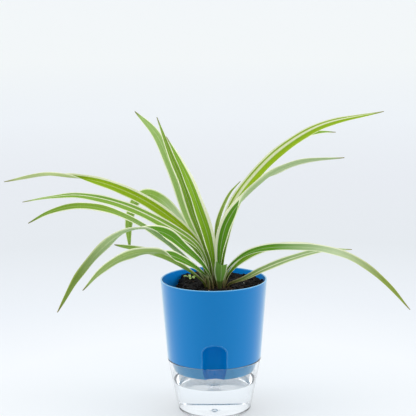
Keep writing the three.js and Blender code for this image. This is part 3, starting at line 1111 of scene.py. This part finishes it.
def evened(line: Sequence[Vector], pieces: int) -> list[Vector]:
    """Spaces points evenly along a fine line.

    Args:
        line: the fine line's points.
        pieces: how many pieces the new line has.

    Returns:
        The new line's points.
    """
    gone = [0.0]
    for start, end in zip(line, line[1:]):
        gone.append(gone[-1] + (end - start).length)
    spaced, place = [], 0
    for piece in range(pieces + 1):
        wanted = gone[-1] * piece / pieces
        while place < len(line) - 2 and gone[place + 1] < wanted:
            place += 1
        share = (wanted - gone[place]) / max(gone[place + 1] - gone[place], 1e-9)
        spaced.append(line[place].lerp(line[place + 1], min(share, 1.0)))
    return spaced


@dataclass
class LeafMaker:
    """Sweeps strap leaves along their midribs."""

    centre: Pair
    seat_height: float
    rows: int = 96
    columns: int = 14
    seat_width: float = 5.6
    seat_fold: float = 48.0  # degrees
    tip_width: float = 0.7
    rib_thickness: float = 0.6
    edge_thickness: float = 0.34
    ripple: float = 0.35
    ripple_length: float = 34.0
    ripple_lead: float = 2.1  # radians by which the left edge ripples before the right one
    dice: random.Random = field(default_factory=lambda: random.Random(SEED))

    def midrib(self, leaf: Leaf) -> list[Vector]:
        """Even points along the leaf's smooth centreline.

        Args:
            leaf: the leaf.

        Returns:
            One point for each row and one more, in millimetres.
        """
        distance, bearing = leaf.seat
        spoke, heading = math.radians(bearing), math.radians(leaf.heading)
        seat = Vector((*self.centre, 0.0)) + Vector((math.cos(spoke), math.sin(spoke), 0.0)) * distance
        ahead = Vector((math.cos(heading), math.sin(heading), 0.0))
        stops = [(0.0, self.seat_height), (0.0, self.seat_height + 2.5), *leaf.route]
        return evened(spline([seat + ahead * out + Vector((0.0, 0.0, up)) for out, up in stops]), self.rows)

    def width(self, leaf: Leaf, t: float) -> float:
        """Blade width at t from seat (0) to tip (1)."""
        grown = lerp(self.seat_width, leaf.width, smoothstep(t, 0.02, leaf.flare))
        return grown if leaf.cut else self.tip_width + (grown - self.tip_width) * (1 - t**leaf.taper)

    def fold(self, leaf: Leaf, t: float) -> float:
        """Fold of each half of the blade, which eases from the seat's and grows again at a crease.

        Args:
            leaf: the leaf.
            t: place from seat (0) to tip (1).

        Returns:
            The angle in radians.
        """
        place, extra = leaf.crease
        creased = extra * (1 - smoothstep(abs(t - place), 0.02, 0.16))
        return math.radians(lerp(self.seat_fold, leaf.fold, smoothstep(t, 0, 0.3)) * (1 - 0.5 * t) + creased)

    @staticmethod
    def rolled(leaf: Leaf, t: float) -> float:
        """Roll of the blade, held near each of the leaf's values.

        Args:
            leaf: the leaf.
            t: place from seat (0) to tip (1).

        Returns:
            The angle in radians.
        """
        spans = len(leaf.roll) - 1
        place = min(t * spans, spans - 1e-9)
        step = int(place)
        return math.radians(lerp(leaf.roll[step], leaf.roll[step + 1], smoothstep(place - step, 0, 1)))

    def build(self, leaf: Leaf) -> None:
        """Sweeps one leaf from a flat grid.

        Args:
            leaf: the leaf.
        """
        line = self.midrib(leaf)
        heading = math.radians(leaf.heading)
        leftward = Vector((-math.sin(heading), math.cos(heading), 0))
        phase, own = self.dice.uniform(0, FULL_TURN), self.dice.random()
        ripples = (line[1] - line[0]).length * self.rows / self.ripple_length
        shape = bmesh.new()
        mark = shape.verts.layers.float_vector.new("blade")
        bmesh.ops.create_grid(shape, x_segments=self.columns, y_segments=self.rows, size=1.0)
        for vert in shape.verts:
            vert[mark] = Vector((vert.co.x, (vert.co.y + 1) / 2, own))
        copied = bmesh.ops.extrude_face_region(shape, geom=list(shape.faces), use_keep_orig=True)["geom"]
        lower = {item for item in copied if isinstance(item, bmesh.types.BMVert)}
        for vert in shape.verts:
            place, t, _ = vert[mark]
            row = min(round(t * self.rows), self.rows)
            near, far = line[max(row - 1, 0)], line[min(row + 1, self.rows)]
            tangent = (far - near).normalized() if row else Vector(AXIS_Z)
            level = tangent.cross(leftward).normalized()
            roll, fold, half = self.rolled(leaf, t), self.fold(leaf, t), self.width(leaf, t) / 2
            across = leftward * math.cos(roll) + level * math.sin(roll)
            facing = level * math.cos(roll) - leftward * math.sin(roll)
            side = abs(place)
            wave = math.sin(t * ripples * FULL_TURN + phase + (self.ripple_lead if place > 0 else 0.0))
            lift = (side**1.2 - 0.5) * half * math.sin(fold)
            lift += self.ripple * wave * side**3 * min(half / 5, 1.0) * smoothstep(t, 0.1, 0.3)
            thickness = lerp(self.rib_thickness, self.edge_thickness, side)
            lift += thickness * (-0.5 if vert in lower else 0.5)
            point = line[row] + across * (place * half * math.cos(fold)) + facing * lift
            if leaf.cut:
                point += tangent * leaf.cut * max(0.0, -place) * smoothstep(t, 0.7, 1.0)
            vert.co = point * MM
        for face in shape.faces:
            face.material_index = int(all(vert in lower for vert in face.verts))
        bmesh.ops.recalc_face_normals(shape, faces=shape.faces)
        looks = [leaf.skin.material(under) for under in (False, True)]
        blade = new_object(leaf.name.replace("leaf_", "blade_"), shape, looks)
        smooth(blade, 60)
        install(blade, "leaf", leaf.name)


def skin(
    tone: LeafTone,
    right: float = 0.25,
    left: float = 0.25,
    stripe: float = 0.0,
    painted_light_share: Pair = (0.0, 0.0),
    **more: Any,
) -> LeafSkin:
    """A leaf skin by its tone, the cream of its right and left margins, its middle stripe and its painted
    light.
    """
    return LeafSkin(tone, (right, left), stripe, painted_light_share=painted_light_share, **more)


# Painted light on leaves: the pale colour over leaf_left_upper, leaf_left_folded, leaf_right_drooping and
# leaf_right_low paints sheen; the grey-green near the seat of leaf_left_middle and the deep green over
# leaf_front_trimmed paint shade.
LEAVES = (
    Leaf("leaf_left_long", (9.1, 167), 172, 12.5, 20, (-30, -50, -65, -65, -50, 60, 90),
         ((1, 154), (11, 179), (50, 213), (91, 234), (132, 245), (170, 247), (212, 239)),
         skin(LeafTone.BRIGHT, 0.36, 0.14), crease=(0.755, 48)),
    Leaf("leaf_left_upper", (8.9, 205), 181, 12.5, 16, (-20, -45, -45, -25),
         ((2, 157), (12, 177), (50, 203), (90, 221.5), (130, 230.5), (159, 229), (187, 224.5)),
         skin(LeafTone.FRESH, 0.22, 0.16, 0.1, painted_light_share=(0.1, 0.1), lean=-0.15), taper=3.2),
    Leaf("leaf_left_inner", (11.8, 153), 172, 7, 34, (-20, -40, -45, -40),
         ((2, 152), (9, 169), (27, 186), (47, 200)),
         skin(LeafTone.FRESH, 0.3, 0.2)),
    Leaf("leaf_left_middle", (12.1, 178), 193, 10.5, 16, (-10, -30, -32, -26, -45, -62, -60),
         ((3, 145), (20, 164), (57, 196), (97, 218), (130, 224), (157, 219), (178, 209)),
         skin(LeafTone.GRASS, 0.16, 0.25, painted_light_share=(0.85, 0.0), bloom="7f9d6e"), taper=4.5),
    Leaf("leaf_left_drooping", (8.9, 242), 212, 14, 20, (-30, -60, -70, 15, 75, 80, 80),
         ((2, 144), (12, 160), (34, 181), (52, 196), (76, 205), (96, 205), (118, 196), (150, 168.5),
          (174.5, 134.5)),
         skin(LeafTone.DEEP, 0.2, 0.22, ripe="b0bc68"), taper=5),
    Leaf("leaf_left_low", (11.8, 226), 224, 12, 20, (-25, -50, -60, 40, 75, 80, 80),
         ((1, 143), (12, 154), (39, 171), (66, 182), (92, 186), (117, 184), (142, 175), (163, 161)),
         skin(LeafTone.MOSS, 0.2, 0.2), taper=6),
    Leaf("leaf_left_short", (11.8, 200), 202, 7, 16, (-10, 40, 65, 65),
         ((2, 139), (13, 149), (34, 164), (61, 177), (97, 187)),
         skin(LeafTone.GRASS, 0.2, 0.2), taper=9),
    Leaf("leaf_left_folded", (8.9, 118), 145, 12, 20, (-20, 60, 100, 100, 80, 60, 60),
         ((3, 149), (16, 167), (40, 196), (63, 216), (82, 221), (96, 215), (105, 201), (109, 183),
          (108, 158)),
         skin(LeafTone.GRASS, 0.14, 0.2, painted_light_share=(1.0, -0.2), bloom="d2dfc2"), taper=8),
    Leaf("leaf_top_outer", (2.9, 132), 135, 13, 18, (-10, -40, -55, -50),
         ((2, 150), (17, 175), (39, 206), (53, 234), (68, 260), (86, 284), (118, 305)),
         skin(LeafTone.PALE, 0.2, 0.16), taper=6),
    Leaf("leaf_top_narrow", (5.9, 178), 158, 11.5, 28, (-40, -60, -45, -30),
         ((1, 150), (5, 173), (20, 210), (31, 241), (43, 267), (58, 306)),
         skin(LeafTone.GRASS, 0.2, 0.3), flare=0.5),
    Leaf("leaf_top_broad", (2.9, 240), 198, 16, 18, (-60, -70, -60, -40),
         ((1, 152), (6, 183), (16, 215), (27, 245), (39, 270), (50, 291)),
         skin(LeafTone.FRESH, 0.42, 0.12), taper=5),
    Leaf("leaf_centre_young", (5.9, 80), 50, 6, 40, (0, 10, 20, 20),
         ((0, 160), (-1, 186), (1, 199), (10, 215), (21, 227), (38, 237)),
         skin(LeafTone.OLIVE, 0.2, 0.2)),
    Leaf("leaf_right_long", (2.9, 0), 10, 13.5, 26, (20, 50, 60, 45),
         ((0, 158), (3, 187), (15, 218), (36, 246), (65, 273), (106, 296), (172, 309)),
         skin(LeafTone.BRIGHT, 0.06, 0.22, 0.17, lean=0.28)),
    Leaf("leaf_right_behind", (5.9, 42), 32, 8, 26, (20, 40, 40, 35),
         ((1, 145), (3, 165), (15, 206), (36, 241), (68, 267), (97, 278.5), (124, 283), (146, 281.5)),
         skin(LeafTone.FRESH, 0.25, 0.25), taper=7),
    Leaf("leaf_right_upper", (5.9, 295), -10, 15, 20, (40, 62, 70, 5, -55, -60, -60),
         ((0, 157), (2, 180), (9, 203), (28, 232), (53, 252), (83, 265), (126, 270)),
         skin(LeafTone.DEEP, 0.16, 0.42), taper=2.4, flare=0.28, crease=(0.55, 52)),
    Leaf("leaf_right_inner", (8.9, 12), 4, 8.5, 24, (20, 40, 40, 20),
         ((3, 144), (14, 157), (32, 168), (57, 174.5), (88, 174.5), (119, 166)),
         skin(LeafTone.FRESH, 0.3, 0.3)),
    Leaf("leaf_right_drooping", (8.9, 328), -22, 9.5, 22, (30, 45, 38, 35),
         ((2, 149), (18, 167), (39, 177), (71, 181.5), (107, 181.5), (138, 173.5), (168, 153.5), (193, 128)),
         skin(LeafTone.DEEP, 0.12, 0.25, painted_light_share=(-0.1, 0.85), bloom="c8d6ae", ripe="b4bc6c"),
         taper=5, flare=0.3),
    Leaf("leaf_right_low", (12.2, 340), -12, 8.5, 18, (30, 48, 45, 30),
         ((2, 137), (16, 143), (36, 154), (66, 167), (96, 176), (126, 178)),
         skin(LeafTone.GRASS, 0.22, 0.22, 0.1, painted_light_share=(0.35, 0.55)), taper=4),
    Leaf("leaf_front_trimmed", (11.4, 287), -74, 14, 34, (0, 0, 0, 0),
         ((0, 140), (2, 150), (5, 160)),
         skin(LeafTone.DEEP, 0.14, 0.14, painted_light_share=(0.9, 0.9), bloom="5e9020", tip="ffffff"), flare=0.8, cut=5),
)  # fmt: skip


@dataclass(frozen=True)
class Leaflet:
    """One cupped leaflet of the seedling: its bearing in degrees, its length and how far its tip rises."""

    bearing: float
    length: float
    rise: float

    def point(self, place: float, t: float) -> Vector:
        """Gives a point of the leaflet.

        Args:
            place: place across it, from -1 to 1.
            t: place along it, from stem (0) to tip (1).

        Returns:
            The point, measured from the stem's end in millimetres.
        """
        turn = math.radians(self.bearing)
        out, side = Vector((math.cos(turn), math.sin(turn), 0)), Vector((-math.sin(turn), math.cos(turn), 0))
        round_end = math.sqrt(max(math.sin(math.pi * min(t * 0.93 + 0.05, 1.0)), 0.02))
        half = self.length * 0.3 * round_end * lerp(0.4, 1, t)
        spot = out * (self.length * t) + side * (half * place)
        spot.z = self.rise * t + 0.9 * math.sin(math.pi * t) + 0.25 * half * place * place
        return spot


@dataclass
class Plant:
    """Rootstock with its leaves, and the seedling beside it."""

    top: float = 131.7
    radius: float = 14.9
    depth: float = 20.0
    swell: float = 2.6
    crumple: float = 0.9
    crumple_width: float = 2.6
    seat_gap: float = 0.3
    sprout: Pair = (-24.0, 20.0)
    sprout_foot: float = 126.0
    sprout_top: float = 136.0
    leaflets: tuple[Leaflet, ...] = (
        Leaflet(20, 7, 1.5),
        Leaflet(110, 6, 2.5),
        Leaflet(195, 7.5, 3),
        Leaflet(265, 6, 0.8),
        Leaflet(325, 6, 0.4),
    )

    def build_stock(self) -> None:
        """Turns the rootstock and crumples its top."""
        rings = [(self.radius * step / 10, self.top) for step in range(10, -1, -1)]
        low = self.top - self.depth
        profile = [(0.0, low), (self.radius * 0.4, low), (self.radius * 0.85, low + self.depth * 0.5)]
        shape = turned([*profile, (self.radius, self.top - 3), *rings], 72, CROWN_CENTRE)
        for vert in shape.verts:
            if vert.co.z > (self.top - 0.1) * MM:
                spot = vert.co / MM
                reach = math.dist(spot.xy, CROWN_CENTRE) / self.radius
                crumple = self.crumple * noise.noise(spot / self.crumple_width)
                vert.co.z += (self.swell * (1 - reach**3) + crumple) * MM
        stock = new_object("rootstock", shape, [FibrousStock().material()])
        smooth(stock, 60)
        install(stock, "crown", "crown")

    def build_sprout(self) -> None:
        """Builds the seedling from a stem and cupped round-ended leaflets."""
        shape = bmesh.new()
        tall, middle = self.sprout_top - self.sprout_foot, (self.sprout_top + self.sprout_foot) / 2
        stem = bmesh.ops.create_cone(
            shape, cap_ends=True, segments=12, radius1=0.8 * MM, radius2=0.5 * MM, depth=tall * MM
        )["verts"]
        bmesh.ops.translate(shape, verts=stem, vec=Vector((*self.sprout, middle)) * MM)
        node = Vector((*self.sprout, self.sprout_top - 1.2))
        for leaflet in self.leaflets:
            known = set(shape.verts)
            bmesh.ops.create_grid(shape, x_segments=6, y_segments=10, size=1.0)
            fresh = [vert for vert in shape.verts if vert not in known]
            for vert in fresh:
                vert.co = (leaflet.point(vert.co.x, (vert.co.y + 1) / 2) + node) * MM
            faces = list({face for vert in fresh for face in vert.link_faces})
            bmesh.ops.solidify(shape, geom=faces, thickness=0.45 * MM)
        bmesh.ops.recalc_face_normals(shape, faces=shape.faces)
        sprout = new_object("sprout", shape, [SproutSkin().material()])
        smooth(sprout, 60)
        install(sprout, "seedling", "seedling")

    def build(self) -> None:
        """Builds the rootstock, every leaf and the seedling."""
        self.build_stock()
        maker = LeafMaker(CROWN_CENTRE, self.top + self.seat_gap)
        for leaf in LEAVES:
            maker.build(leaf)
        self.build_sprout()


# ------------------------------ Studio ------------------------------


@dataclass
class Studio:
    """Pale seamless sweep with a painted glow, soft light from all round and above, and the camera."""

    focal_pixels: float = 1316.0
    frame_pixels: float = 416.0
    sensor: float = 36.0
    place: tuple[float, float, float] = (-5.3, -1323.3, 458.4)
    pitch: float = 79.51  # degrees
    roll: float = -0.466  # degrees
    floor_radius: float = 45.0  # m, so that the floor fills the view behind the plant
    ground_reach: float = 15.0  # m from the pot to the last of the sweep's tones
    # Tones by distance from the pot, greyer in a band further out: painted shade of a sweep turning up.
    ground: Stops = (
        (0.0, "eff2f6"), (0.15, "f2f6f9"), (0.2, "f4f7fa"), (0.25, "ecf0f5"), (0.32, "e6eaee"),
        (0.4, "edf0f5"), (0.5, "f6fafe"), (0.65, "fcffff"), (1.0, "fbfeff"),
    )  # fmt: skip
    painted_table_glow: float = 0.46  # painted glow over the whole sweep, standing in for light from below
    painted_foot_glow: float = 0.75  # the same painted glow, brighter right under the cup's foot: a painted pool of light
    target: tuple[float, float, float] = (0.0, 0.0, 0.12)  # m, what the soft boxes look at

    def build_floor(self) -> None:
        """Lays the sweep: matt white acrylic with a painted glow, brighter in a painted pool under the cup's
        foot, and tones greyer in a band away from the pot, painted shade of a sweep turning up behind.
        """
        shape = bmesh.new()
        bmesh.ops.create_circle(shape, cap_ends=True, segments=96, radius=self.floor_radius)
        bmesh.ops.translate(shape, verts=shape.verts, vec=(0, 0, -0.05 * MM))
        material, shader = new_material("acrylic_sweep_painted_glow", {"Roughness": 0.7, "Specular IOR Level": 0.2})
        add = partial(add_node, material.node_tree)
        reach = add("VectorMath", {"operation": "LENGTH"}, {0: add("TexCoord").outputs["Object"]})
        share = add("MapRange", {"From Min": 0.0, "From Max": self.ground_reach}, {"Value": reach})
        spread = add("Math", {"operation": "POWER", 1: 0.4}, {0: share})
        colour = add("ValToRGB", {"stops": self.ground}, {"Fac": spread})
        # The base colour is dimmed to leave room for the painted glow.
        dimmed = add("Mix", {**TINT, 0: 1.0, 7: (0.46, 0.46, 0.46, 1.0)}, {6: colour})
        # Painted glow: brighter in a pool right under the cup's foot.
        foot = {"From Min": 0.034, "From Max": 0.036, "To Min": self.painted_foot_glow, "To Max": self.painted_table_glow}
        glow = add("MapRange", foot, {"Value": reach})
        connect(shader, {"Base Color": dimmed, "Emission Color": colour, "Emission Strength": glow})
        new_object("studio_floor", shape, [material])

    def build_world(self) -> None:
        """Lights the room from all round: brightest overhead, dimmer on the camera's side."""
        world = bpy.data.worlds.new("soft_studio")
        world.use_nodes = True
        bpy.context.scene.world = world
        background = world.node_tree.nodes["Background"]
        background.inputs["Color"].default_value = linear("f7fafd")
        add = partial(add_node, world.node_tree)
        parts = add("SeparateXYZ", links={"Vector": add("TexCoord").outputs["Generated"]}).outputs
        overhead = {"From Min": 0.0, "From Max": 0.9, "To Min": 1.02, "To Max": 1.1}
        behind = {"From Min": -0.9, "From Max": 0.1, "To Min": 0.62, "To Max": 1.0}
        height = add("MapRange", overhead, {"Value": parts["Z"]})
        depth = add("MapRange", behind, {"Value": parts["Y"]})
        connect(background, {"Strength": add("Math", {"operation": "MULTIPLY"}, {0: height, 1: depth})})

    def build_lamp(self, name: str, place: Sequence[float], size: Pair, power: float) -> None:
        """Hangs a soft box that looks at the plant.

        Args:
            name: the lamp's name.
            place: its position, in metres.
            size: its width and height, in metres.
            power: its power in watts.
        """
        lamp = bpy.data.lights.new(name, "AREA")
        lamp.shape = "RECTANGLE"
        lamp.size, lamp.size_y = size
        lamp.energy = power
        holder = placed(name, lamp)
        holder.location = place
        holder.rotation_euler = (Vector(self.target) - Vector(place)).to_track_quat("-Z", "Y").to_euler()

    def build_camera(self) -> None:
        """Stands the camera at the photograph's place."""
        camera = bpy.data.cameras.new("studio_camera")
        camera.sensor_width = self.sensor
        camera.lens = self.focal_pixels / self.frame_pixels * self.sensor
        camera.clip_start, camera.clip_end = 0.05, 100.0
        holder = placed("studio_camera", camera)
        pitch, roll = math.radians(self.pitch), math.radians(self.roll)
        turn = Matrix.Rotation(pitch, 4, "X") @ Matrix.Rotation(roll, 4, "Z")
        holder.matrix_world = Matrix.Translation(Vector(self.place) * MM) @ turn
        bpy.context.scene.camera = holder

    def build(self) -> None:
        """Builds the studio."""
        bpy.context.scene.view_settings.view_transform = "Standard"
        self.build_camera()
        self.build_floor()
        self.build_world()
        self.build_lamp("overhead_box", (-0.1, -0.1, 1.7), (1.2, 1.2), 5.0)
        self.build_lamp("left_box", (-1.3, -0.25, 0.5), (0.7, 1.1), 6.0)
        self.build_lamp("right_box", (1.3, -0.25, 0.5), (0.7, 1.1), 6.0)


def main() -> None:
    """Builds every part of the scene in order and notes its size."""
    logging.basicConfig(level=logging.INFO, format="%(message)s")
    Studio().build()
    ReservoirCup().build()
    pot = Pot()
    pot.build()
    Soil(pot).build()
    Plant().build()
    bpy.context.view_layer.update()
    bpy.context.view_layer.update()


if __name__ == "__main__":
    main()
